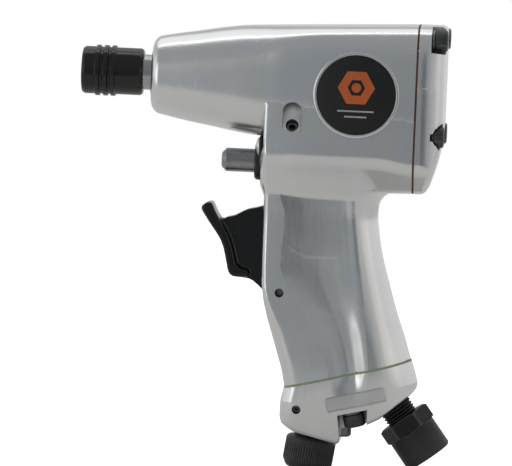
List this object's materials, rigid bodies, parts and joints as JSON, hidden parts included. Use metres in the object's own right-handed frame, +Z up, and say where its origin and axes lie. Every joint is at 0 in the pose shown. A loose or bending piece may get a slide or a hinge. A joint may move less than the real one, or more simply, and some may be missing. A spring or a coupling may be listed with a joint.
{
  "type": "pneumatic impact driver",
  "caption": "Pistol-grip air impact driver: cast body, quick-change hex chuck, lever trigger, push-pull reverse valve, regulator knob and threaded air inlet.",
  "frame": {"origin": "middle of the bottom of the overall box", "axes": "+Z up, parallel to the grip's height and square to the spindle; the nose and chuck point along -X; Y is across the tool"},
  "size_m": [0.1528, 0.0526, 0.1812],
  "materials": {
    "cast_aluminium": "tumbled and polished casting with a fine grain",
    "brown_gasket": "matte fibre gasket",
    "green_gasket": "matte fibre gasket",
    "black_screw": "black oxide, satin",
    "spring_washer": "oiled spring steel",
    "label": null,
    "black_oxide": "black oxide, satin",
    "brass": "machined",
    "ground_steel": "ground",
    "tool_steel": "hardened, machined",
    "zinc_screw": "bright zinc plate",
    "black_paint": "gloss black paint",
    "vane_fibre": "phenolic fibre"
  },
  "bodies": {
    "body": {"housing": "cast_aluminium", "rear_gasket": "brown_gasket", "rear_cover": "cast_aluminium", "rear_screw_1": "black_screw", "rear_screw_2": "black_screw", "rear_screw_3": "black_screw", "rear_screw_4": "black_screw", "rear_washer_1": "spring_washer", "rear_washer_2": "spring_washer", "rear_washer_3": "spring_washer", "rear_washer_4": "spring_washer", "label_disc": "label", "base_gasket": "green_gasket", "base_cap": "cast_aluminium", "base_screw_1": "black_screw", "base_screw_2": "black_screw", "base_washer_1": "spring_washer", "base_washer_2": "spring_washer", "regulator_pin": "spring_washer", "inlet_bushing": "black_oxide", "inlet_screen": "brass", "exhaust_deflector": "spring_washer", "trigger_pin": "ground_steel", "throttle_bushing": "brass", "throttle_spring": "ground_steel", "reverse_bushing": "black_oxide", "reverse_retainer_plate": "black_oxide", "retainer_screw": "zinc_screw", "detent_set_screw": "black_screw", "detent_spring": "ground_steel", "anvil_bushing": "brass", "front_end_plate": "tool_steel", "rear_end_plate": "tool_steel", "motor_cylinder": "ground_steel", "front_bearing": "ground_steel", "rear_bearing": "ground_steel"},
    "trigger": {"trigger": "black_paint"},
    "throttle": {"throttle_stem": "ground_steel", "throttle_ball": "ground_steel"},
    "reverse_valve": {"reverse_spool": "ground_steel"},
    "detent": {"detent_ball": "ground_steel"},
    "regulator": {"regulator_knob": "black_oxide", "regulator_stem": "ground_steel"},
    "rotor": {"rotor": "ground_steel", "hammer_cage": "tool_steel", "hammer_pin_1": "ground_steel", "hammer_pin_2": "ground_steel"},
    "dog_1": {"hammer_dog_1": "tool_steel"},
    "dog_2": {"hammer_dog_2": "tool_steel"},
    "vane_1": {"vane_1": "vane_fibre"},
    "vane_2": {"vane_2": "vane_fibre"},
    "vane_3": {"vane_3": "vane_fibre"},
    "vane_4": {"vane_4": "vane_fibre"},
    "anvil": {"anvil": "ground_steel", "chuck_ring": "tool_steel", "chuck_spring": "ground_steel"},
    "sleeve": {"chuck_sleeve": "black_oxide"},
    "bit_ball": {"bit_ball": "ground_steel"}
  },
  "joints": [
    {"name": "trigger_pull", "type": "hinge", "parent": "body", "child": "trigger", "pos_m": [0.00699, 0, 0.0725], "axis": [0, 1, 0], "range_deg": [0, 13], "stiffness_Nm_per_rad": 0.6, "springref_deg": -11.46},
    {"name": "throttle_slide", "type": "slide", "parent": "body", "child": "throttle", "axis": [1, 0, 0], "range_m": [0, 0.0027], "deforming": ["throttle_spring"]},
    {"name": "reverse_shift", "type": "slide", "parent": "body", "child": "reverse_valve", "axis": [1, 0, 0], "range_m": [0, 0.007]},
    {"name": "detent_click", "type": "slide", "parent": "body", "child": "detent", "axis": [0, 0.8264, -0.5631], "range_m": [0, 0.0006], "deforming": ["detent_spring"]},
    {"name": "regulator_turn", "type": "hinge", "parent": "body", "child": "regulator", "pos_m": [0.02129, 0, 0.0124], "axis": [-0.141, 0, -0.99], "range_deg": [-135, 135]},
    {"name": "rotor_spin", "type": "hinge", "parent": "body", "child": "rotor", "pos_m": [0.02909, 0, 0.1573], "axis": [1, 0, 0], "continuous": true},
    {"name": "anvil_spin", "type": "hinge", "parent": "body", "child": "anvil", "pos_m": [-0.04991, 0, 0.1573], "axis": [1, 0, 0], "continuous": true},
    {"name": "dog_1_swing", "type": "hinge", "parent": "rotor", "child": "dog_1", "pos_m": [-0.01791, 0, 0.1692], "axis": [1, 0, 0], "range_deg": [-4, 4]},
    {"name": "dog_2_swing", "type": "hinge", "parent": "rotor", "child": "dog_2", "pos_m": [-0.00491, 0, 0.1454], "axis": [1, 0, 0], "range_deg": [-4, 4]},
    {"name": "sleeve_slide", "type": "slide", "parent": "anvil", "child": "sleeve", "axis": [-1, 0, 0], "range_m": [0, 0.0035], "stiffness_N_per_m": 1500, "springref_m": -0.002, "deforming": ["chuck_spring"]},
    {"name": "ball_release", "type": "slide", "parent": "anvil", "child": "bit_ball", "axis": [0, 0, 1], "range_m": [0, 0.0009]},
    {"name": "vane_1_slide", "type": "slide", "parent": "rotor", "child": "vane_1", "axis": [0, 0.7071, 0.7071], "range_m": [0, 0.0006]},
    {"name": "vane_2_slide", "type": "slide", "parent": "rotor", "child": "vane_2", "axis": [0, 0.7071, -0.7071], "range_m": [0, 0.0006]},
    {"name": "vane_3_slide", "type": "slide", "parent": "rotor", "child": "vane_3", "axis": [0, -0.7071, -0.7071], "range_m": [0, 0.0006]},
    {"name": "vane_4_slide", "type": "slide", "parent": "rotor", "child": "vane_4", "axis": [0, -0.7071, 0.7071], "range_m": [0, 0.0006]}
  ],
  "couplings": [
    {"joint": "throttle_slide", "follows": "trigger_pull", "m_per_rad": 0.0115},
    {"joint": "anvil_spin", "follows": "rotor_spin", "ratio": 1},
    {"joint": "ball_release", "follows": "sleeve_slide", "ratio": 0.257}
  ]
}
